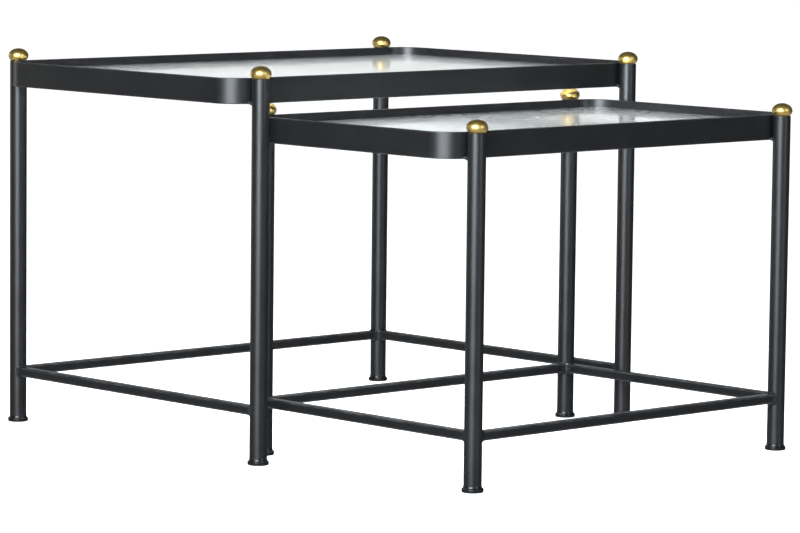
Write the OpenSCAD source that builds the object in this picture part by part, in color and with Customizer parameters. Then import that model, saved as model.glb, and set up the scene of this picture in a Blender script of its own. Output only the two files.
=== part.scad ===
// Pair of nesting tables: black metal frames, glass tops set into flat-bar
// rims, and a brass ball on top of every leg. The small table slides in and
// out under the large one, along Y. Millimetres, Z up, front towards -Y.
// The origin is on the floor, at the middle of the pair's bounding box.

/* [Large table] */
// Distance between the centres of the left and right legs
large_leg_x = 645; // [560:5:800]
// Distance between the centres of the front and rear legs
large_leg_y = 482; // [430:2:600]
// Height of the rim's top edge above the floor
large_height = 476; // [420:1:560]

/* [Small table] */
// Distance between the centres of the front and rear legs
small_leg_y = 376; // [300:2:400]
// Play between the small rim and the large table's legs, each side
side_play = 7; // [3:0.5:12]
// Play between the small table's balls and the underside of the large rim
head_play = 2.1; // [1.5:0.1:8]
// How far the small table's centre stands in front of the large one's
pull_out = 371; // [300:1:450]
// How far the small table stands to the right of the middle
side_shift = 5; // [0:0.5:6]

/* [Legs] */
// Outer diameter of the leg tube
leg_d = 22; // [19:0.5:25]
// Wall thickness of the leg tube
leg_wall = 1.5; // [1:0.1:2]
// How far the top of the tube lies below the rim's top edge
leg_drop = 1; // [0:0.5:4]

/* [Rim] */
// Height of the flat bar that forms the rim
rim_h = 32; // [28:1:40]
// Thickness of that bar
rim_t = 4; // [3:0.5:6]
// Distance from a leg's centre to the rim's end face, and its corner radius
rim_overhang = 36.5; // [30:0.5:45]

/* [Stretchers] */
// Width and height of the square bar
bar = 12; // [9:0.5:13]
// Radius along the bar's long edges
bar_edge = 1.8; // [0.5:0.1:3]
// Height of the bar's middle above the floor
bar_z = 66.5; // [50:0.5:90]

/* [Glass] */
// Thickness of the glass
glass_t = 5; // [4:0.5:6]
// Depth of the glass below the rim's top edge
glass_recess = 10.5; // [6:0.5:14]
// Gap between the glass and the rim, all round
glass_gap = 1; // [0.5:0.1:2]
// Width of the ledge bars under the glass
ledge_w = 25; // [12:1:30]
// Thickness of the ledge bars
ledge_t = 3; // [2:0.5:4]
// Diameter of the clear bumpers between ledge and glass
bumper_d = 8; // [6:0.5:9]
// Height of those bumpers
bumper_h = 1.5; // [1:0.1:2]

/* [Balls] */
// Diameter of the brass ball
ball_d = 26; // [24:0.2:28]
// Height of the brass ball, which is a little flattened
ball_h = 19; // [16:0.2:22]
// Diameter of the ball's stud
stud_d = 8; // [6:1:10]
// Height of the threaded plug in the top of the tube
plug_h = 9; // [6:0.5:14]

/* [Feet] */
// Widest diameter of the foot cap
foot_d = 26.5; // [25:0.5:30]
// Height of the foot cap below the end of the tube
foot_h = 8; // [6:0.5:12]
// How far the foot's stem reaches up into the tube
stem_h = 15; // [10:1:25]

/* [Hidden] */

// Corner names with the side (x) and end (y) that each stands on
CORNERS = [
    ["front_left", -1, -1],
    ["front_right", 1, -1],
    ["rear_right", 1, 1],
    ["rear_left", -1, 1]
];
// Side names with the direction that each faces
SIDES = [
    ["front", 0, -1],
    ["rear", 0, 1],
    ["left", -1, 0],
    ["right", 1, 0]
];

leg_r = leg_d / 2;
bore_r = leg_r - leg_wall;
ball_r = ball_d / 2;
ball_half_h = ball_h / 2;
// The ball sinks into the tube's mouth until it touches the inner edge
ball_seat = ball_half_h * sqrt(1 - pow(bore_r / ball_r, 2));
ball_above_rim = ball_seat + ball_half_h - leg_drop;
plug_gap = 0.6;
stud_fit = 0.1;
stem_fit = 0.05;
foot_tread_r = foot_d / 2 - 1.5;
foot_neck_r = leg_r + 0.3;
bumper_inset = 60;
profile_steps = 32;

// The small table follows from the large one and the play between them
small_leg_x = large_leg_x - leg_d - 2 * (side_play + rim_overhang);
small_height = large_height - rim_h - head_play - ball_above_rim;

// Shift that puts the origin at the middle of the pair, front to back
rear_reach = large_leg_y / 2 + foot_d / 2;
front_reach = pull_out + small_leg_y / 2 + foot_d / 2;
centre_y = (front_reach - rear_reach) / 2;

// A table is [leg spacing x, leg spacing y, rim height, centre x, centre y]
LARGE = [large_leg_x, large_leg_y, large_height, 0, centre_y];
SMALL = [small_leg_x, small_leg_y, small_height, side_shift, centre_y - pull_out];

function rim_half_x(t) = t[0] / 2 + rim_overhang;
function rim_half_y(t) = t[1] / 2 - leg_r;
function leg_top(t) = t[2] - leg_drop;
function glass_top(t) = t[2] - glass_recess;
function ledge_top(t) = glass_top(t) - glass_t - bumper_h;

$fn = 64;

// ---- helpers --------------------------------------------------------------

module at_table(t) {
    translate([t[3], t[4], 0]) children();
}

module at_leg(t, corner) {
    at_table(t)
        translate([corner[1] * t[0] / 2, corner[2] * t[1] / 2, 0])
            children();
}

// Rounded rectangle about the origin, given by its half sizes and radius
module round_rect(half_x, half_y, r) {
    square([2 * half_x, 2 * (half_y - r)], center = true);
    square([2 * (half_x - r), 2 * half_y], center = true);
    for (sx = [-1, 1], sy = [-1, 1])
        translate([sx * (half_x - r), sy * (half_y - r)])
            circle(r);
}

// ---- sub-parts ------------------------------------------------------------

// Flat bar bent on edge into a ring with round corners
module rim(t) {
    hx = rim_half_x(t);
    hy = rim_half_y(t);
    color("#2b2e31")
        at_table(t)
            translate([0, 0, t[2] - rim_h])
                linear_extrude(rim_h)
                    difference() {
                        round_rect(hx, hy, rim_overhang);
                        round_rect(hx - rim_t, hy - rim_t, rim_overhang - rim_t);
                    }
}

module glass(t) {
    inset = rim_t + glass_gap;
    color("#dfe8e6", 0.5)
        at_table(t)
            translate([0, 0, glass_top(t) - glass_t])
                linear_extrude(glass_t)
                    round_rect(rim_half_x(t) - inset, rim_half_y(t) - inset, rim_overhang - inset);
}

// Straight strip welded inside the rim, between two round corners
module ledge(t, side) {
    hx = rim_half_x(t) - rim_t;
    hy = rim_half_y(t) - rim_t;
    along_x = side[1] == 0;
    length = 2 * ((along_x ? rim_half_x(t) : rim_half_y(t)) - rim_overhang);
    size = along_x ? [length, ledge_w, ledge_t] : [ledge_w, length, ledge_t];
    color("#25282b")
        at_table(t)
            translate([
                side[1] * (hx - ledge_w / 2),
                side[2] * (hy - ledge_w / 2),
                ledge_top(t) - ledge_t / 2
            ])
                cube(size, center = true);
}

// Clear pads on the ledges: two on each long ledge, one on each short one
module bumpers(t) {
    px = rim_half_x(t) - rim_t - ledge_w / 2;
    py = rim_half_y(t) - rim_t - ledge_w / 2;
    color("#e8ecec", 0.7)
        at_table(t)
            translate([0, 0, ledge_top(t)]) {
                for (sx = [-1, 1], sy = [-1, 1])
                    translate([sx * (t[0] / 2 - bumper_inset), sy * py, 0])
                        cylinder(d = bumper_d, h = bumper_h);
                for (sx = [-1, 1])
                    translate([sx * px, 0, 0])
                        cylinder(d = bumper_d, h = bumper_h);
            }
}

module leg(t, corner) {
    length = leg_top(t) - foot_h;
    color("#303336")
        at_leg(t, corner)
            translate([0, 0, foot_h])
                difference() {
                    cylinder(r = leg_r, h = length);
                    translate([0, 0, -1])
                        cylinder(r = bore_r, h = length + 2);
                }
}

// Square bar between two legs, its ends cut to the round of the tubes
module stretcher(t, side) {
    along_x = side[1] == 0;
    span = along_x ? t[0] : t[1];
    color("#2d3033")
        at_table(t)
            translate([side[1] * t[0] / 2, side[2] * t[1] / 2, bar_z])
                rotate([0, 0, along_x ? 0 : 90])
                    difference() {
                        translate([-span / 2, 0, 0])
                            rotate([90, 0, 90])
                                linear_extrude(span)
                                    round_rect(bar / 2, bar / 2, bar_edge);
                        for (end = [-1, 1])
                            translate([end * span / 2, 0, -bar])
                                cylinder(r = leg_r, h = 2 * bar);
                    }
}

// Flattened brass ball with a stud that screws into the leg's plug
module ball(t, corner) {
    profile = [
        for (i = [0 : profile_steps])
            let (a = 90 - 180 * i / profile_steps)
                [ball_r * cos(a), ball_half_h * sin(a)]
    ];
    color("#c9a227")
        at_leg(t, corner)
            translate([0, 0, leg_top(t) + ball_seat]) {
                rotate_extrude()
                    polygon(profile);
                translate([0, 0, -ball_half_h - plug_h + 1])
                    cylinder(d = stud_d, h = plug_h + 1);
            }
}

// Threaded plugs fixed inside the tops of the four legs
module leg_plugs(t) {
    plug_top = leg_top(t) + ball_seat - ball_half_h - plug_gap;
    color("#8b8f94")
        for (corner = CORNERS)
            at_leg(t, corner)
                translate([0, 0, plug_top - plug_h])
                    difference() {
                        cylinder(r = bore_r, h = plug_h);
                        translate([0, 0, -1])
                            cylinder(r = stud_d / 2 + stud_fit, h = plug_h + 2);
                    }
}

// Flared plastic cap: a tread on the floor, a bulge, a neck and a stem
module foot(t, corner) {
    color("#141516")
        at_leg(t, corner) {
            rotate_extrude()
                polygon([
                    [0, 0],
                    [foot_tread_r, 0],
                    [foot_d / 2 - 0.4, foot_h * 0.08],
                    [foot_d / 2, foot_h * 0.2],
                    [foot_d / 2, foot_h * 0.5],
                    [foot_d / 2 - 0.5, foot_h * 0.62],
                    [foot_neck_r + 0.5, foot_h * 0.75],
                    [foot_neck_r, foot_h * 0.87],
                    [foot_neck_r, foot_h],
                    [0, foot_h]
                ]);
            translate([0, 0, foot_h])
                cylinder(r = bore_r - stem_fit, h = stem_h);
        }
}

// ---- assembly -------------------------------------------------------------

module whole_table(name, t, bars) {
    rim(t);
    glass(t);
    bumpers(t);
    leg_plugs(t);
    for (c = CORNERS) {
        leg(t, c);
        foot(t, c);
        ball(t, c);
    }
    for (s = SIDES)
        ledge(t, s);
    for (s = bars)
        stretcher(t, s);
}

// The large table has no front stretcher, so the small one can slide in
whole_table("large", LARGE, [SIDES[1], SIDES[2], SIDES[3]]);
whole_table("small", SMALL, SIDES);
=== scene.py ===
"""Looks of the nesting tables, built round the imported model: shapes, materials, studio and camera."""

import math

import bmesh
import bpy
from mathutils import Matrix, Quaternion, Vector


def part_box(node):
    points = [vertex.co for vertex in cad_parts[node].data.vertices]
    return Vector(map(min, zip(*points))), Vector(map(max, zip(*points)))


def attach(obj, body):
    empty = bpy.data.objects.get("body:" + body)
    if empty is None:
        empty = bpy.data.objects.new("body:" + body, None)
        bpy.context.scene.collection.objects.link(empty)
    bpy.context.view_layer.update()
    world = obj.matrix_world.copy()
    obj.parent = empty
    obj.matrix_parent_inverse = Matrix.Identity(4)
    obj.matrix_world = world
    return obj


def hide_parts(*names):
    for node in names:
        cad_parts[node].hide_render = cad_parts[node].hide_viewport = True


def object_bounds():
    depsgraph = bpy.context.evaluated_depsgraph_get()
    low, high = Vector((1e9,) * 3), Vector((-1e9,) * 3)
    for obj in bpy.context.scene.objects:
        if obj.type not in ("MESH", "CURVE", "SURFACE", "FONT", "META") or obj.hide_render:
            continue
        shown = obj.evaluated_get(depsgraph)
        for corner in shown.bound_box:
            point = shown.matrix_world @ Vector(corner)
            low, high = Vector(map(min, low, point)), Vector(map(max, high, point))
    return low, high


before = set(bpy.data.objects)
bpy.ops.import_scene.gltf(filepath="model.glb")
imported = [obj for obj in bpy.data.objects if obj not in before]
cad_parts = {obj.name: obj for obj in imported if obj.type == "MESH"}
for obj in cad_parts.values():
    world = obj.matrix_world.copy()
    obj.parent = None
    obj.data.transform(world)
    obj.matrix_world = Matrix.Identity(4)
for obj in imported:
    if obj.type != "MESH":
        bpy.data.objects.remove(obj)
cad_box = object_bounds()

# ---- sizes that the imported model doesn't give, in metres ------------------

RIM_THICKNESS = 0.004
RIM_EDGE = 0.0009
TUBE_WALL = 0.0015
TUBE_LIP = 0.0006
BAR_EDGE = 0.0018
LEDGE_EDGE = 0.0005
BUMPER_INSET = 0.060
BALL_HALF_HEIGHT = 0.0095
STUD_RADIUS = 0.004
THREAD_DEPTH = 0.0006
THREAD_PITCH = 0.00125

# How far an edge's wear reaches onto the flat beside it, on bars and along tubes
EDGE_GUARD = 0.0007
TUBE_GUARD = 0.002

# The pane's ground edge and the bumper's dome, as shares of their half height and height
GROUND_SHARE = 0.8
DOME_SHARE = 0.6

# Foot cap from the floor up: hollow tread, round flange, shoulder, neck below the tube's end, stem inside it
TREAD_HOLLOW = 0.0008
TREAD_RADIUS = 0.0068
TREAD_LIP = 0.0074
FLANGE_ROUND = 0.0015
SHOULDER_ROUND = 0.0010
SHOULDER_HEIGHT = 0.0050
NECK_HEIGHT = 0.0068
FOOT_CAP_HEIGHT = 0.008
NECK_PROUD = 0.0003
NECK_BEVEL = 0.0004
STEM_GAP = 0.00005
STEM_BEVEL = 0.001

# Welds round a bar's end: how far they reach along the bar and over the tube, and their ripples
BAR_WELD_REACH = 0.0052
BAR_WELD_RISE = 0.0026
BAR_RIPPLES = 9
RIPPLE = 0.07
RIPPLE_PITCH = 0.0024
RIPPLE_FADE = 0.003

# Welds between a leg and the rim: where they end on the tube and on the rim, how high they stand over the
# rim's lower edge, how much of that is round, and how far they hang below it
SEAM_ANGLE = math.radians(58)
SEAM_SPREAD = 0.0108
SEAM_HEIGHT = 0.0034
SEAM_TOP = 0.002
SEAM_TAIL = 0.0032

# How far hidden ends reach into their neighbours, and how far a weld's edge dips under the metal's skin
HIDDEN_DEPTH = 0.0005
SKIN = 0.0001

TURNS = 72
BUMPER_TURNS = 32
CORNER_STEPS = 20
EDGE_STEPS = 5
GROUND_STEPS = 6
BALL_STEPS = 40
ARC_STEPS = 8
WELD_STEPS = 6
RIPPLE_STEPS = 6
TAIL_STEPS = 12

# Wear at a point of a shape: a rubbed edge, plain coat, or the rougher coat over a weld seam
RUBBED = 1.0
PLAIN = 0.0
ROUGH_SEAM = -1.0

# ---- camera and studio -------------------------------------------------------

CAMERA_AZIMUTH = -43.06
CAMERA_ELEVATION = 6.02
CAMERA_ROLL = 0.65
CAMERA_DISTANCE = 5.20
CAMERA_LENS = 180.9
CAMERA_CLIP_END = 50.0
AIM_OFFSET = Vector((-0.0076, 0.0032, -0.0274))

FLOOR_HALF = 30.0
SEEN_WHITE = 1.05

# Brightness of the room that gives the tables their light and reflections, by the sine of the elevation
ROOM = ((-1.0, 0.50), (-0.6, 0.50), (-0.35, 0.26), (-0.14, 0.07), (0.0, 0.04), (0.06, 0.07), (1.0, 0.06))

# The bright wall behind the tables that the glass mirrors: dim at its foot, full above it, brighter higher
# up, then fading out. Angles are in degrees. To either side it is full up to WALL_HALF_WIDTH and gone at
# WALL_OUTER_EDGE.
WALL_FOOT = 3.05
WALL_FULL = 3.6
WALL_FOOT_GREY = 0.34
WALL_RISE_START = 6.0
WALL_RISE_END = 9.0
WALL_TOP_GREY = 1.3
WALL_FADE_START_SINE = 0.22
WALL_FADE_END_SINE = 0.42
FLOOR_LINE_SINE = 0.01
WALL_HALF_WIDTH = 8
WALL_OUTER_EDGE = 17

TABLES = ("large", "small")
CORNERS = {
    "front_left": (-1, -1),
    "front_right": (1, -1),
    "rear_right": (1, 1),
    "rear_left": (-1, 1),
}
SIDES = {"front": (0, -1), "rear": (0, 1), "left": (-1, 0), "right": (1, 0)}

# Signs of the first and second coordinate in each quarter turn, anticlockwise
QUARTERS = ((1, 1), (-1, 1), (-1, -1), (1, -1))


# ---- shape helpers ------------------------------------------------------------

class Shape:
    """Points, faces and the wear at each point, gathered before they become one mesh."""

    def __init__(self):
        self.points = []
        self.faces = []
        self.wear = []

    def ring(self, points, wear=PLAIN):
        """Adds a closed ring of points and gives their numbers."""
        first = len(self.points)
        self.points += [tuple(p) for p in points]
        self.wear += [wear] * len(points)
        return list(range(first, len(self.points)))

    def bridge(self, ring_a, ring_b):
        """Faces between two closed rings of the same length; repeated points give triangles."""
        for i in range(len(ring_a)):
            j = (i + 1) % len(ring_a)
            corners = [ring_a[i], ring_a[j], ring_b[j], ring_b[i]]
            face = [c for k, c in enumerate(corners) if c != corners[k - 1]]
            if len(face) > 2:
                self.faces.append(face)

    def bridge_all(self, rings, closed=False):
        """Faces between each ring and the next, and from the last to the first if closed."""
        for ring_a, ring_b in zip(rings, rings[1:]):
            self.bridge(ring_a, ring_b)
        if closed:
            self.bridge(rings[-1], rings[0])

    def cap(self, ring):
        """One flat face over a ring."""
        self.faces.append(list(ring))


def section(half_w, half_h, radius, guard=EDGE_GUARD):
    """Outline of a bar with round edges, as (across, up, wear): worn on the edges, clean past them."""
    outline = []
    flat = min(half_w, half_h) - radius
    guard = min(guard, 0.8 * flat)
    for quarter, (sx, sy) in enumerate(QUARTERS):
        cx = sx * (half_w - radius)
        cy = sy * (half_h - radius)
        start = math.pi / 2 * quarter
        angles = [start + math.pi / 2 * i / EDGE_STEPS for i in range(EDGE_STEPS + 1)]
        end = angles[-1]
        edge = [(cx + radius * math.cos(a), cy + radius * math.sin(a), RUBBED) for a in angles]
        before = (edge[0][0] + guard * math.sin(start), edge[0][1] - guard * math.cos(start), PLAIN)
        after = (edge[-1][0] - guard * math.sin(end), edge[-1][1] + guard * math.cos(end), PLAIN)
        outline += [before, *edge, after]
    return outline


def round_path(half_x, half_y, radius, corner_steps=CORNER_STEPS, side_steps=1):
    """Points and outward normals round a rectangle with round corners, anticlockwise from +X."""
    path = []
    for quarter, (sx, sy) in enumerate(QUARTERS):
        corner = Vector((sx * (half_x - radius), sy * (half_y - radius)))
        for i in range(corner_steps + 1):
            a = math.pi / 2 * (quarter + i / corner_steps)
            normal = Vector((math.cos(a), math.sin(a)))
            path.append((corner + radius * normal, normal))
        along = Vector((-normal.y, normal.x))
        half_side = half_x if abs(along.x) > 0.5 else half_y
        length = 2 * (half_side - radius)
        for i in range(1, side_steps):
            path.append((corner + radius * normal + along * length * i / side_steps, normal))
    return path


def arc(centre, radius, start, stop, steps=ARC_STEPS):
    """Points of an outline on a circle, with angles in degrees, as (radius, height)."""
    angles = [math.radians(start + (stop - start) * i / steps) for i in range(steps + 1)]
    return [(centre[0] + radius * math.cos(a), centre[1] + radius * math.sin(a)) for a in angles]


def plain(points):
    """An outline of (radius, height) as (radius, height, wear), without wear."""
    return [(radius, height, PLAIN) for radius, height in points]


def curve_between(start, control, end, steps):
    """Points of a quadratic curve."""
    points = []
    for i in range(steps + 1):
        t = i / steps
        points.append(start * (1 - t) ** 2 + control * 2 * t * (1 - t) + end * t ** 2)
    return points


def revolve(shape, outline, x, y, closed=False, turns=TURNS):
    """Turns an outline of (radius, height, wear) about the upright line through x, y."""
    angles = [2 * math.pi * i / turns for i in range(turns)]
    rings = []
    for radius, height, wear in outline:
        if radius < 1e-9:
            rings.append(shape.ring([(x, y, height)], wear) * turns)
            continue
        points = [(x + radius * math.cos(a), y + radius * math.sin(a), height) for a in angles]
        rings.append(shape.ring(points, wear))
    shape.bridge_all(rings, closed)


def lofted(shape, path, outline, centre, closed=False):
    """Carries an outline of (outward, up, wear) round a path; gives its rings, one for each outline point."""
    rings = []
    for outward, up, wear in outline:
        points = []
        for p, n in path:
            points.append((centre.x + p.x + n.x * outward, centre.y + p.y + n.y * outward, centre.z + up))
        rings.append(shape.ring(points, wear))
    shape.bridge_all(rings, closed)
    return rings


def centre_of(node):
    """Middle of a CAD node's box."""
    low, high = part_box(node)
    return (low + high) / 2


def half_of(node):
    """Half of a CAD node's width, depth and height."""
    low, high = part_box(node)
    return (high - low) / 2


def corner_radius(table):
    """The rim turns about the legs' centre lines, so its corner radius is how far it reaches past them."""
    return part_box(f"{table}_rim")[1].x - centre_of(f"{table}_leg_front_right").x


def bar_ends(table, side):
    """The two leg centres that a stretcher joins, at the stretcher's height."""
    sx, sy = SIDES[side]
    height = centre_of(f"{table}_stretcher_{side}").z
    ends = []
    for corner, (cx, cy) in CORNERS.items():
        if cx == sx or cy == sy:
            leg = centre_of(f"{table}_leg_{corner}")
            ends.append(Vector((leg.x, leg.y, height)))
    return ends


# ---- material helpers ----------------------------------------------------------

def new_material(name):
    """A material with its node tree and its Principled shader."""
    material = bpy.data.materials.new(name)
    material.use_nodes = True
    return material, material.node_tree, material.node_tree.nodes["Principled BSDF"]


def node(tree, kind, **settings):
    """Adds a node with the given settings."""
    made = tree.nodes.new(kind)
    for key, value in settings.items():
        setattr(made, key, value)
    return made


def noise(tree, scale, detail=2.0, roughness=0.5):
    """Noise over the object's own coordinates, with features about 1 / scale metres across."""
    where = node(tree, "ShaderNodeTexCoord")
    made = node(tree, "ShaderNodeTexNoise")
    made.inputs["Scale"].default_value = scale
    made.inputs["Detail"].default_value = detail
    made.inputs["Roughness"].default_value = roughness
    tree.links.new(where.outputs["Object"], made.inputs["Vector"])
    return made.outputs["Fac"]


def remap(tree, value, low, high, to_low, to_high):
    """Carries low..high over to to_low..to_high, and holds what lies outside at the nearer end."""
    made = node(tree, "ShaderNodeMapRange")
    for key, number in (("From Min", low), ("From Max", high), ("To Min", to_low), ("To Max", to_high)):
        made.inputs[key].default_value = number
    tree.links.new(value, made.inputs["Value"])
    return made.outputs["Result"]


def calculate(tree, operation, first, second):
    """One arithmetic operation on two numbers or outputs."""
    made = node(tree, "ShaderNodeMath", operation=operation)
    for socket, value in zip(made.inputs, (first, second)):
        if isinstance(value, (int, float)):
            socket.default_value = value
        else:
            tree.links.new(value, socket)
    return made.outputs["Value"]


def mix_colours(tree, factor, first, second):
    """The first colour where the factor is 0, the second where it is 1."""
    made = node(tree, "ShaderNodeMix", data_type="RGBA")
    tree.links.new(factor, made.inputs[0])
    for socket, value in ((made.inputs[6], first), (made.inputs[7], second)):
        if isinstance(value, tuple):
            socket.default_value = (*value, 1.0)
        else:
            tree.links.new(value, socket)
    return made.outputs[2]


def bump(tree, height, distance, strength, below=None):
    """Relief that is distance deep, on top of the relief below it, if any."""
    made = node(tree, "ShaderNodeBump")
    made.inputs["Strength"].default_value = strength
    made.inputs["Distance"].default_value = distance
    tree.links.new(height, made.inputs["Height"])
    if below is not None:
        tree.links.new(below, made.inputs["Normal"])
    return made.outputs["Normal"]


def graded(tree, value, stops):
    """A grey that follows the value through the given (place, grey) stops."""
    ramp = node(tree, "ShaderNodeValToRGB")
    elements = ramp.color_ramp.elements
    while len(elements) < len(stops):
        elements.new(0.5)
    for element, (place, grey) in zip(elements, stops):
        element.position = place
        element.color = (grey, grey, grey, 1.0)
    tree.links.new(value, ramp.inputs["Fac"])
    return ramp.outputs["Color"]


# ---- materials -------------------------------------------------------------------

def powder_coat():
    """Satin black powder coat: orange peel, cloudy gloss, edges rubbed a little grey, duller weld seams."""
    material, tree, shader = new_material("black_powder_coat")
    shader.inputs["IOR"].default_value = 1.55
    deep = (0.0031, 0.0034, 0.0038)
    pale = (0.0052, 0.0056, 0.0062)
    dust = (0.013, 0.014, 0.016)
    rubbed_grey = (0.034, 0.036, 0.039)
    cloud = noise(tree, 9.0, 3.0)
    speck = noise(tree, 420.0, 2.0)
    tone = mix_colours(tree, cloud, deep, pale)
    tone = mix_colours(tree, remap(tree, speck, 0.62, 0.75, 0.0, 0.5), tone, dust)
    worn = node(tree, "ShaderNodeAttribute", attribute_name="wear").outputs["Fac"]
    patches = remap(tree, noise(tree, 60.0, 4.0, 0.6), 0.40, 0.62, 0.15, 0.9)
    rubbed = calculate(tree, "MULTIPLY", remap(tree, worn, PLAIN, RUBBED, 0.0, 1.0), patches)
    seam = remap(tree, worn, ROUGH_SEAM, PLAIN, 0.34, 0.0)
    tree.links.new(mix_colours(tree, rubbed, tone, rubbed_grey), shader.inputs["Base Color"])
    gloss = remap(tree, noise(tree, 26.0, 3.0), 0.3, 0.7, 0.34, 0.42)
    gloss = calculate(tree, "SUBTRACT", gloss, calculate(tree, "MULTIPLY", rubbed, 0.08))
    tree.links.new(calculate(tree, "ADD", gloss, seam), shader.inputs["Roughness"])
    peel = bump(tree, noise(tree, 520.0, 2.0), 0.00005, 0.35)
    grain = bump(tree, noise(tree, 2400.0, 1.0), 0.00001, 0.30, peel)
    tree.links.new(grain, shader.inputs["Normal"])
    return material


def brass():
    """Polished brass, turned on a lathe and lacquered, with a little tarnish."""
    material, tree, shader = new_material("polished_brass")
    shader.inputs["Metallic"].default_value = 1.0
    bright = (0.78, 0.57, 0.185)
    tarnished = (0.46, 0.28, 0.075)
    patches = remap(tree, noise(tree, 110.0, 4.0, 0.6), 0.45, 0.75, 0.0, 0.55)
    tone = mix_colours(tree, patches, bright, tarnished)
    tree.links.new(tone, shader.inputs["Base Color"])
    gloss = remap(tree, noise(tree, 300.0, 3.0), 0.3, 0.7, 0.36, 0.45)
    tree.links.new(gloss, shader.inputs["Roughness"])
    where = node(tree, "ShaderNodeTexCoord")
    rings = node(tree, "ShaderNodeTexWave", bands_direction="Z")
    rings.inputs["Scale"].default_value = 700.0
    rings.inputs["Distortion"].default_value = 0.6
    tree.links.new(where.outputs["Object"], rings.inputs["Vector"])
    turned = bump(tree, rings.outputs["Fac"], 0.000006, 0.25)
    tree.links.new(bump(tree, noise(tree, 900.0), 0.00001, 0.2, turned), shader.inputs["Normal"])
    return material


def glass():
    """Tempered glass, polished on top and satin-etched underneath, with the smudges of a used table top."""
    material, tree, shader = new_material("frosted_glass")
    shader.inputs["IOR"].default_value = 1.50
    shader.inputs["Transmission Weight"].default_value = 0.96
    shader.inputs["Coat IOR"].default_value = 1.50
    shader.inputs["Coat Roughness"].default_value = 0.10
    clean = (0.94, 0.975, 0.97)
    hazy = (0.90, 0.94, 0.93)
    where = node(tree, "ShaderNodeTexCoord")
    split = node(tree, "ShaderNodeSeparateXYZ")
    tree.links.new(where.outputs["Generated"], split.inputs["Vector"])
    # the coat is the polished top; the etched underside goes without it
    polished = remap(tree, split.outputs["Z"], 0.02, 0.12, 0.0, 0.95)
    tree.links.new(polished, shader.inputs["Coat Weight"])
    smudge = remap(tree, noise(tree, 11.0, 5.0, 0.6), 0.35, 0.70, 0.0, 1.0)
    wiped = remap(tree, noise(tree, 90.0, 3.0), 0.3, 0.7, 0.0, 1.0)
    haze = calculate(tree, "MULTIPLY", smudge, wiped)
    tree.links.new(remap(tree, haze, 0.0, 1.0, 0.46, 0.60), shader.inputs["Roughness"])
    tree.links.new(mix_colours(tree, haze, clean, hazy), shader.inputs["Base Color"])
    etched = bump(tree, noise(tree, 1600.0, 2.0), 0.00001, 0.25)
    tree.links.new(bump(tree, noise(tree, 12.0, 1.0), 0.0001, 0.06, etched), shader.inputs["Normal"])
    return material


def plastic():
    """Moulded black plastic with a fine spark-eroded grain, scuffed grey next to the floor."""
    material, tree, shader = new_material("black_plastic")
    deep = (0.0030, 0.0030, 0.0033)
    pale = (0.0062, 0.0062, 0.0066)
    scuffed_grey = (0.030, 0.029, 0.027)
    where = node(tree, "ShaderNodeTexCoord")
    split = node(tree, "ShaderNodeSeparateXYZ")
    tree.links.new(where.outputs["Object"], split.inputs["Vector"])
    low = remap(tree, split.outputs["Z"], 0.0002, 0.0022, 1.0, 0.0)
    scuff = calculate(tree, "MULTIPLY", low, remap(tree, noise(tree, 420.0, 4.0), 0.42, 0.6, 0.0, 0.8))
    tone = mix_colours(tree, noise(tree, 160.0), deep, pale)
    tree.links.new(mix_colours(tree, scuff, tone, scuffed_grey), shader.inputs["Base Color"])
    gloss = remap(tree, noise(tree, 240.0, 3.0), 0.3, 0.7, 0.22, 0.32)
    gloss = calculate(tree, "ADD", gloss, calculate(tree, "MULTIPLY", scuff, 0.25))
    tree.links.new(gloss, shader.inputs["Roughness"])
    tree.links.new(bump(tree, noise(tree, 1800.0, 3.0), 0.00002, 0.35), shader.inputs["Normal"])
    return material


def silicone():
    """Milky clear silicone, tacky and a little dusty."""
    material, tree, shader = new_material("clear_silicone")
    shader.inputs["Transmission Weight"].default_value = 0.7
    shader.inputs["IOR"].default_value = 1.41
    milky = (0.86, 0.88, 0.88)
    dusty = (0.62, 0.62, 0.60)
    dust = remap(tree, noise(tree, 700.0, 3.0), 0.45, 0.7, 0.0, 1.0)
    tree.links.new(mix_colours(tree, dust, milky, dusty), shader.inputs["Base Color"])
    tree.links.new(remap(tree, dust, 0.0, 1.0, 0.28, 0.55), shader.inputs["Roughness"])
    tree.links.new(bump(tree, noise(tree, 1500.0), 0.00001, 0.3), shader.inputs["Normal"])
    return material


def zinc():
    """Zinc-plated steel, cloudy blue-grey, with a fine grain."""
    material, tree, shader = new_material("zinc_steel")
    shader.inputs["Metallic"].default_value = 1.0
    blue_grey = (0.50, 0.52, 0.56)
    pale_grey = (0.66, 0.66, 0.64)
    tone = mix_colours(tree, noise(tree, 240.0, 3.0), blue_grey, pale_grey)
    tree.links.new(tone, shader.inputs["Base Color"])
    tree.links.new(remap(tree, noise(tree, 500.0, 3.0), 0.3, 0.7, 0.26, 0.42), shader.inputs["Roughness"])
    tree.links.new(bump(tree, noise(tree, 1400.0, 2.0), 0.00001, 0.3), shader.inputs["Normal"])
    return material


def floor_paint():
    """Matt white studio floor that stays white under the tables."""
    material, tree, shader = new_material("studio_white")
    tone = mix_colours(tree, noise(tree, 3.0), (0.90, 0.90, 0.90), (0.93, 0.93, 0.93))
    tree.links.new(tone, shader.inputs["Base Color"])
    shader.inputs["Roughness"].default_value = 0.9
    shader.inputs["Emission Color"].default_value = (1.0, 1.0, 1.0, 1.0)
    shader.inputs["Emission Strength"].default_value = 1.0
    return material


MATERIALS = {
    "black_powder_coat": powder_coat(),
    "polished_brass": brass(),
    "frosted_glass": glass(),
    "black_plastic": plastic(),
    "clear_silicone": silicone(),
    "zinc_steel": zinc(),
}


# ---- the pieces --------------------------------------------------------------------

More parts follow.
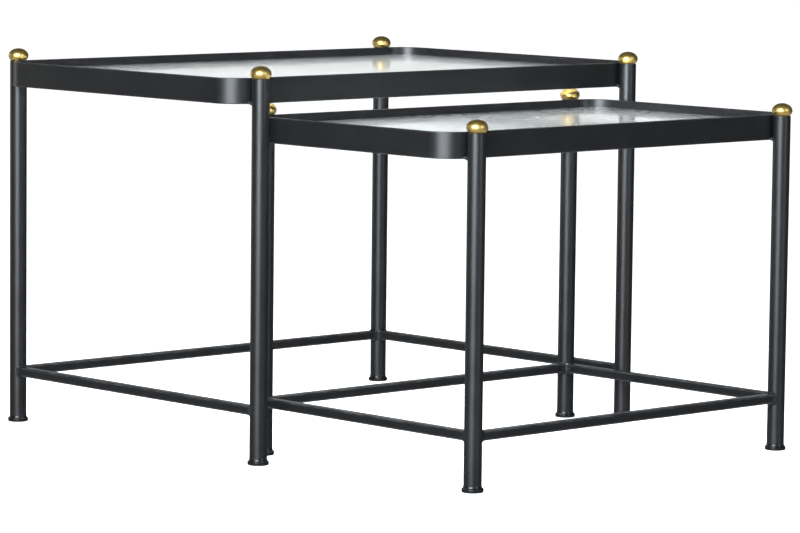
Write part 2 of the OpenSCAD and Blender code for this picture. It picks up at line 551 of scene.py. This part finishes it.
def make_piece(shape, name, table, slot, replaced=()):
    """Turns a shape into an object that rides on its table and stands for its CAD nodes."""
    mesh = bpy.data.meshes.new(name)
    mesh.from_pydata(shape.points, [], shape.faces)
    wear = mesh.attributes.new("wear", "FLOAT", "POINT")
    wear.data.foreach_set("value", shape.wear)
    work = bmesh.new()
    work.from_mesh(mesh)
    bmesh.ops.recalc_face_normals(work, faces=work.faces)
    for face in work.faces:
        face.smooth = True
    work.to_mesh(mesh)
    work.free()
    mesh.materials.append(MATERIALS[slot])
    piece = bpy.data.objects.new(name, mesh)
    bpy.context.scene.collection.objects.link(piece)
    normals = piece.modifiers.new("flat_faces_stay_flat", "WEIGHTED_NORMAL")
    normals.keep_sharp = True
    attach(piece, f"{table}_table")
    if replaced:
        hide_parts(*replaced)
    return piece


def build_rim(table):
    """Flat bar bent into a ring, with softened edges."""
    shape = Shape()
    name = f"{table}_rim"
    half = half_of(name)
    middle = RIM_THICKNESS / 2
    path = round_path(half.x - middle, half.y - middle, corner_radius(table) - middle)
    lofted(shape, path, section(middle, half.z, RIM_EDGE), centre_of(name), closed=True)
    make_piece(shape, f"{name}_bar", table, "black_powder_coat", [name])


def build_glass(table):
    """Glass pane with a pencil-ground edge."""
    shape = Shape()
    name = f"{table}_glass"
    half = half_of(name)
    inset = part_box(f"{table}_rim")[1].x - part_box(name)[1].x
    path = round_path(half.x, half.y, corner_radius(table) - inset)
    ground = GROUND_SHARE * half.z
    angles = [math.radians(90 * i / GROUND_STEPS) for i in range(GROUND_STEPS + 1)]
    upper = [(-ground * (1 - math.sin(a)), half.z - ground * (1 - math.cos(a))) for a in angles]
    lower = [(outward, -up) for outward, up in reversed(upper)]
    loops = lofted(shape, path, plain(upper + lower), centre_of(name))
    shape.cap(loops[0])
    shape.cap(loops[-1])
    pane = make_piece(shape, f"{name}_pane", table, "frosted_glass", [name])
    pane.visible_shadow = False


def straight_bar(shape, centre, half, edge):
    """Flat bar along its longer side, with round long edges and softened ends."""
    along_x = half.x > half.y
    length = max(half.x, half.y)
    width = min(half.x, half.y)
    rings = []
    for end, shrink in ((-length, edge), (-length + edge, 0.0), (length - edge, 0.0), (length, edge)):
        points = []
        for across, up, _ in section(width - shrink, half.z - shrink, edge):
            offset = (end, across) if along_x else (across, end)
            points.append((centre.x + offset[0], centre.y + offset[1], centre.z + up))
        rings.append(shape.ring(points))
    shape.bridge_all(rings)
    shape.cap(rings[0])
    shape.cap(rings[-1])


def build_ledges(table):
    """The flat strips under the glass."""
    for side in SIDES:
        name = f"{table}_ledge_{side}"
        shape = Shape()
        straight_bar(shape, centre_of(name), half_of(name), LEDGE_EDGE)
        make_piece(shape, f"{name}_strip", table, "black_powder_coat", [name])


def build_bumpers(table):
    """Clear domed pads on the ledges: two on each long ledge and one on each short one."""
    shape = Shape()
    name = f"{table}_bumpers"
    low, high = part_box(name)
    radius = centre_of(f"{table}_ledge_front").y - low.y
    left = centre_of(f"{table}_leg_front_left").x + BUMPER_INSET
    right = centre_of(f"{table}_leg_front_right").x - BUMPER_INSET
    side_y = centre_of(f"{table}_ledge_left").y
    places = [(x, centre_of(f"{table}_ledge_{side}").y) for x in (left, right) for side in ("front", "rear")]
    places += [(centre_of(f"{table}_ledge_{side}").x, side_y) for side in ("left", "right")]
    dome = DOME_SHARE * (high.z - low.z)
    outline = [(0.0, low.z), (radius, low.z)]
    for i in range(GROUND_STEPS + 1):
        a = math.radians(90 * i / GROUND_STEPS)
        outline.append((radius - dome * (1 - math.cos(a)), high.z - dome * (1 - math.sin(a))))
    outline.append((0.0, high.z))
    for x, y in places:
        revolve(shape, plain(outline), x, y, turns=BUMPER_TURNS)
    make_piece(shape, f"{name}_domed", table, "clear_silicone", [name])


def build_leg(table, corner):
    """Round tube with a softened lip at each end."""
    name = f"{table}_leg_{corner}"
    centre = centre_of(name)
    half = half_of(name)
    middle = half.x - TUBE_WALL / 2
    wall = section(TUBE_WALL / 2, half.z, TUBE_LIP, guard=TUBE_GUARD)
    outline = [(middle + across, centre.z + up, wear) for across, up, wear in wall]
    shape = Shape()
    revolve(shape, outline, centre.x, centre.y, closed=True)
    make_piece(shape, f"{name}_tube", table, "black_powder_coat", [name])


def build_ball(table, corner):
    """Flattened brass ball on a threaded stud."""
    name = f"{table}_ball_{corner}"
    low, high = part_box(name)
    centre = centre_of(name)
    radius = (high.x - low.x) / 2
    middle = high.z - BALL_HALF_HEIGHT
    neck = math.asin(STUD_RADIUS / radius)
    outline = [(0.0, high.z)]
    for i in range(1, BALL_STEPS + 1):
        a = math.pi / 2 - (math.pi - neck) * i / BALL_STEPS
        outline.append((radius * math.cos(a), middle + BALL_HALF_HEIGHT * math.sin(a)))
    z = outline[-1][1] - THREAD_PITCH
    while z - THREAD_PITCH / 2 > low.z + THREAD_DEPTH:
        outline.append((STUD_RADIUS, z))
        outline.append((STUD_RADIUS - THREAD_DEPTH, z - THREAD_PITCH / 2))
        z -= THREAD_PITCH
    outline += [(STUD_RADIUS - THREAD_DEPTH, low.z), (0.0, low.z)]
    shape = Shape()
    revolve(shape, plain(outline), centre.x, centre.y)
    make_piece(shape, f"{name}_turned", table, "polished_brass", [name])


def build_foot(table, corner):
    """Push-in cap: a stem in the tube, a neck that goes on from the tube, a round flange on the floor."""
    name = f"{table}_foot_{corner}"
    low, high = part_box(name)
    centre = centre_of(name)
    widest = (high.x - low.x) / 2
    tube = half_of(f"{table}_leg_{corner}").x
    neck = tube + NECK_PROUD
    stem = tube - TUBE_WALL - STEM_GAP
    hollow = low.z + TREAD_HOLLOW
    shoulder = low.z + SHOULDER_HEIGHT
    neck_foot = low.z + NECK_HEIGHT
    top = low.z + FOOT_CAP_HEIGHT
    outline = [(0.0, hollow), (TREAD_RADIUS, hollow), (TREAD_LIP, low.z)]
    outline += arc((widest - FLANGE_ROUND, low.z + FLANGE_ROUND), FLANGE_ROUND, -90, 0)
    outline += arc((widest - SHOULDER_ROUND, shoulder - SHOULDER_ROUND), SHOULDER_ROUND, 0, 80)
    # a hollow curve leads from the shoulder into the neck
    outline += [(neck + 0.0004, shoulder + 0.0005), (neck + 0.0001, neck_foot - 0.0007), (neck, neck_foot)]
    outline += [(neck, top - 0.0003), (neck - NECK_BEVEL, top), (stem, top)]
    outline += [(stem, high.z - STEM_BEVEL), (stem - STEM_BEVEL, high.z), (0.0, high.z)]
    shape = Shape()
    revolve(shape, plain(outline), centre.x, centre.y)
    make_piece(shape, f"{name}_cap", table, "black_plastic", [name])


def build_stretcher(table, side):
    """Square bar with round edges, its ends cut to the round of the tubes."""
    name = f"{table}_stretcher_{side}"
    half_width = half_of(name).z
    tube = half_of(f"{table}_leg_front_left").x
    first, last = bar_ends(table, side)
    along = (last - first).normalized()
    across = Vector((-along.y, along.x, 0.0))
    up = Vector((0.0, 0.0, 1.0))
    outline = section(half_width, half_width, BAR_EDGE)
    shape = Shape()
    rings = []
    for leg, direction in ((first, along), (last, -along)):
        points = []
        for w, h, wear in outline:
            reach = math.sqrt(tube ** 2 - w ** 2) - HIDDEN_DEPTH
            points.append(leg + direction * reach + across * w + up * h)
        ring = shape.ring(points)
        for index, (w, h, wear) in zip(ring, outline):
            shape.wear[index] = wear
        rings.append(ring)
    shape.bridge(rings[0], rings[1])
    for ring, leg, direction in ((rings[0], first, along), (rings[1], last, -along)):
        middle = shape.ring([leg + direction * (tube - HIDDEN_DEPTH)]) * len(ring)
        shape.bridge(ring, middle)
    make_piece(shape, f"{name}_bar", table, "black_powder_coat", [name])


def weld_bar_end(shape, leg, direction, half_width, tube):
    """Concave fillet weld all round the end of a square bar, where it meets a tube."""
    across = Vector((-direction.y, direction.x, 0.0))
    up = Vector((0.0, 0.0, 1.0))

    def place(point, distance):
        """A point of the bar's cross-section, at a distance from the tube's axis."""
        return leg + direction * distance + across * point.x + up * point.y

    def tube_skin(point):
        """How far along the bar the tube's surface is from its axis, at a point of the cross-section."""
        return math.sqrt(tube ** 2 - point.x ** 2)

    rings = []
    path = round_path(half_width, half_width, BAR_EDGE, corner_steps=5, side_steps=7)
    for index, (p, n) in enumerate(path):
        swell = 1 + RIPPLE * math.cos(index * 2 * math.pi * BAR_RIPPLES / len(path))
        outer = p + n * BAR_WELD_RISE * swell
        start = place(p - n * SKIN, tube_skin(p) + BAR_WELD_REACH * swell)
        control = place(p + n * 0.0003, tube_skin(p) + 0.0006)
        end = place(outer, tube_skin(outer) - SKIN)
        hidden = place(p - n * HIDDEN_DEPTH, tube_skin(p) - HIDDEN_DEPTH)
        rings.append(shape.ring([*curve_between(start, control, end, WELD_STEPS), hidden]))
    shape.bridge_all(rings, closed=True)


def weld_bars(shape, table):
    """Welds at both ends of every stretcher the table has."""
    tube = half_of(f"{table}_leg_front_left").x
    for side in SIDES:
        name = f"{table}_stretcher_{side}"
        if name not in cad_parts:
            continue
        first, last = bar_ends(table, side)
        along = (last - first).normalized()
        half_width = half_of(name).z
        weld_bar_end(shape, first, along, half_width, tube)
        weld_bar_end(shape, last, -along, half_width, tube)


def seam_plan(table, corner, lateral):
    """A seam's outline from above, beside its leg: drawn in under the tube's skin, and at full size."""
    leg = centre_of(f"{table}_leg_{corner}")
    tube = half_of(f"{table}_leg_{corner}").x
    bend = corner_radius(table)
    axis = Vector((leg.x, leg.y))
    sideways = Vector((lateral, 0.0))
    inward = Vector((0.0, -CORNERS[corner][1]))

    def spot(side, depth):
        """A point beside the leg's axis, seen from above."""
        return axis + sideways * side + inward * depth

    # on the side of the round corner, the rim bends away from the seam
    at_bend = lateral == CORNERS[corner][0]
    rim = tube + (bend - math.sqrt(bend ** 2 - SEAM_SPREAD ** 2) if at_bend else 0.0)
    on_leg = spot(tube * math.sin(SEAM_ANGLE), tube * math.cos(SEAM_ANGLE))
    control = spot(0.76 * SEAM_SPREAD, 0.87 * tube)
    on_rim = spot(SEAM_SPREAD, rim + SKIN)
    full = curve_between(on_leg, control, on_rim, WELD_STEPS)
    # three more points close the outline behind the seam's face, out of sight
    full += [spot(SEAM_SPREAD, rim + HIDDEN_DEPTH), spot(0.0035, tube), spot(0.0075, tube * 0.6)]
    base = [axis + (p - axis).normalized() * (tube - 3 * SKIN) for p in full]
    return base, full


def seam_levels(low):
    """Heights down a seam and its size at each: round top, rippled body, tail below the rim's edge at low."""
    top = low + SEAM_HEIGHT
    levels = [(top - SEAM_TOP * q, math.sqrt(1 - (1 - q) ** 2)) for q in (0.02, 0.1, 0.3, 0.6, 1.0)]
    body_top = levels[-1][0]
    count = round((body_top - low) / RIPPLE_PITCH * RIPPLE_STEPS)
    for i in range(1, count + 1):
        z = body_top + (low - body_top) * i / count
        fade = min(1.0, (z - low) / RIPPLE_FADE, (body_top - z) / RIPPLE_FADE)
        levels.append((z, 1 - 0.5 * RIPPLE * fade * (1 - math.cos(2 * math.pi * z / RIPPLE_PITCH))))
    for i in range(1, TAIL_STEPS + 1):
        q = i / TAIL_STEPS
        levels.append((low - SEAM_TAIL * q, 1 - math.sqrt(1 - (1 - q) ** 2)))
    return levels


def weld_rim_seam(shape, table, corner, lateral):
    """Short seam at the foot of the groove between a leg and the rim, on one side of the leg."""
    base, full = seam_plan(table, corner, lateral)
    rings = []
    for z, size in seam_levels(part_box(f"{table}_rim")[0].z):
        points = [b + (f - b) * size for b, f in zip(base, full)]
        rings.append(shape.ring([(p.x, p.y, z) for p in points], wear=ROUGH_SEAM))
    shape.bridge_all(rings)
    shape.cap(rings[0])
    shape.cap(rings[-1])


def build_welds(table):
    """Every weld seam of a table, under the same coat as its frame."""
    shape = Shape()
    weld_bars(shape, table)
    for corner in CORNERS:
        for lateral in (-1, 1):
            weld_rim_seam(shape, table, corner, lateral)
    make_piece(shape, f"{table}_welds", table, "black_powder_coat")


def build_table(table):
    """Every piece of one table; the hidden leg plugs keep their CAD shape and get their own metal."""
    build_rim(table)
    build_glass(table)
    build_ledges(table)
    build_bumpers(table)
    for corner in CORNERS:
        build_leg(table, corner)
        build_ball(table, corner)
        build_foot(table, corner)
    for side in SIDES:
        if f"{table}_stretcher_{side}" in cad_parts:
            build_stretcher(table, side)
    build_welds(table)
    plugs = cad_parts[f"{table}_leg_plugs"]
    plugs.data.materials.clear()
    plugs.data.materials.append(MATERIALS["zinc_steel"])


# ---- studio --------------------------------------------------------------------------

def direction_at(azimuth, elevation):
    """Unit vector from the object: azimuth 0 is in front, 90 to the right, angles in degrees."""
    a = math.radians(azimuth)
    e = math.radians(elevation)
    return Vector((math.sin(a) * math.cos(e), -math.cos(a) * math.cos(e), math.sin(e)))


def build_camera(middle):
    """The photo's camera: a long lens from a little above the tops, rolled a touch."""
    data = bpy.data.cameras.new("camera")
    data.lens = CAMERA_LENS
    data.clip_end = CAMERA_CLIP_END
    camera = bpy.data.objects.new("camera", data)
    bpy.context.scene.collection.objects.link(camera)
    back = direction_at(CAMERA_AZIMUTH, CAMERA_ELEVATION)
    camera.location = middle + AIM_OFFSET + back * CAMERA_DISTANCE
    camera.rotation_mode = "QUATERNION"
    level = (-back).to_track_quat("-Z", "Y")
    camera.rotation_quaternion = level @ Quaternion((0.0, 0.0, 1.0), math.radians(CAMERA_ROLL))
    bpy.context.scene.camera = camera


def soft_box(name, azimuth, elevation, distance, size, power, colour, target):
    """Rectangular lamp that looks at the target, unseen by the camera."""
    data = bpy.data.lights.new(name, "AREA")
    data.shape = "RECTANGLE"
    data.size, data.size_y = size
    data.energy = power
    data.color = colour
    lamp = bpy.data.objects.new(name, data)
    bpy.context.scene.collection.objects.link(lamp)
    away = direction_at(azimuth, elevation)
    lamp.location = target + away * distance
    lamp.rotation_mode = "QUATERNION"
    lamp.rotation_quaternion = away.to_track_quat("Z", "Y")
    lamp.visible_camera = False
    return lamp


def build_lights(middle):
    """A large cool key on the left, a narrow fill in front, a weak warm box behind, a soft top light."""
    cool = (0.87, 0.935, 1.0)
    cool_fill = (0.86, 0.93, 1.0)
    warm = (1.0, 0.95, 0.87)
    warm_white = (1.0, 0.98, 0.95)
    soft_box("key_box", azimuth=-62, elevation=18, distance=3.4, size=(2.1, 2.1),
             power=262, colour=cool, target=middle)
    soft_box("fill_box", azimuth=8, elevation=14, distance=4.5, size=(0.9, 2.6),
             power=44, colour=cool_fill, target=middle)
    soft_box("back_box", azimuth=-163, elevation=6, distance=3.4, size=(1.1, 1.8),
             power=10, colour=warm, target=middle)
    top = soft_box("top_box", azimuth=-30, elevation=84, distance=2.6, size=(1.8, 1.8),
                   power=30, colour=warm_white, target=middle)
    top.visible_glossy = False


def sine(degrees):
    """Sine of an angle in degrees."""
    return math.sin(math.radians(degrees))


def cosine(degrees):
    """Cosine of an angle in degrees."""
    return math.cos(math.radians(degrees))


def room_grey(tree, height):
    """The dim room, graded from the floor to the ceiling; height is the sine of the elevation."""
    place = remap(tree, height, -1.0, 1.0, 0.0, 1.0)
    return graded(tree, place, [((1 + level) / 2, grey) for level, grey in ROOM])


def wall_grey(tree, direction, height):
    """The bright wall behind the tables, as seen from them."""
    foot = remap(tree, height, sine(WALL_FOOT), sine(WALL_FULL), WALL_FOOT_GREY, 1.0)
    foot = calculate(tree, "MULTIPLY", foot, remap(tree, height, 0.0, FLOOR_LINE_SINE, 0.0, 1.0))
    rise = remap(tree, height, sine(WALL_RISE_START), sine(WALL_RISE_END), 1.0, WALL_TOP_GREY)
    fade = remap(tree, height, WALL_FADE_START_SINE, WALL_FADE_END_SINE, 1.0, 0.0)
    wall = calculate(tree, "MULTIPLY", calculate(tree, "MULTIPLY", foot, rise), fade)
    ahead = node(tree, "ShaderNodeVectorMath", operation="DOT_PRODUCT")
    tree.links.new(direction, ahead.inputs[0])
    ahead.inputs[1].default_value = direction_at(CAMERA_AZIMUTH + 180, 0)
    facing = remap(tree, ahead.outputs["Value"], cosine(WALL_OUTER_EDGE), cosine(WALL_HALF_WIDTH), 0.0, 1.0)
    return calculate(tree, "MULTIPLY", facing, wall)


def build_world():
    """White for the eye and through the glass; for light and gloss, a dim room with a bright wall behind."""
    world = bpy.data.worlds.new("studio")
    bpy.context.scene.world = world
    world.use_nodes = True
    tree = world.node_tree
    tree.nodes.clear()
    direction = node(tree, "ShaderNodeTexCoord").outputs["Generated"]
    split = node(tree, "ShaderNodeSeparateXYZ")
    tree.links.new(direction, split.inputs["Vector"])
    height = split.outputs["Z"]
    total = node(tree, "ShaderNodeMix", data_type="RGBA", blend_type="ADD")
    total.inputs[0].default_value = 1.0
    tree.links.new(room_grey(tree, height), total.inputs[6])
    tree.links.new(wall_grey(tree, direction, height), total.inputs[7])
    around = node(tree, "ShaderNodeBackground")
    tree.links.new(total.outputs[2], around.inputs["Color"])
    seen = node(tree, "ShaderNodeBackground")
    seen.inputs["Color"].default_value = (1.0, 1.0, 1.0, 1.0)
    seen.inputs["Strength"].default_value = SEEN_WHITE
    path = node(tree, "ShaderNodeLightPath")
    direct = calculate(tree, "MAXIMUM", path.outputs["Is Camera Ray"], path.outputs["Is Transmission Ray"])
    either = node(tree, "ShaderNodeMixShader")
    tree.links.new(direct, either.inputs[0])
    tree.links.new(around.outputs[0], either.inputs[1])
    tree.links.new(seen.outputs[0], either.inputs[2])
    out = node(tree, "ShaderNodeOutputWorld")
    tree.links.new(either.outputs[0], out.inputs["Surface"])


def build_floor():
    """Wide white floor; it fills the picture, and gloss sees the room instead of it."""
    corners = [(sx * FLOOR_HALF, sy * FLOOR_HALF, 0) for sx, sy in CORNERS.values()]
    mesh = bpy.data.meshes.new("floor")
    mesh.from_pydata(corners, [], [(0, 1, 2, 3)])
    mesh.materials.append(floor_paint())
    floor = bpy.data.objects.new("floor", mesh)
    bpy.context.scene.collection.objects.link(floor)
    floor.visible_glossy = False


def build_studio():
    """Camera, lights, world and floor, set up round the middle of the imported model."""
    low, high = cad_box
    middle = (low + high) / 2
    build_camera(middle)
    build_lights(middle)
    build_world()
    build_floor()
    bpy.context.scene.view_settings.view_transform = "Standard"


for table_name in TABLES:
    build_table(table_name)
build_studio()
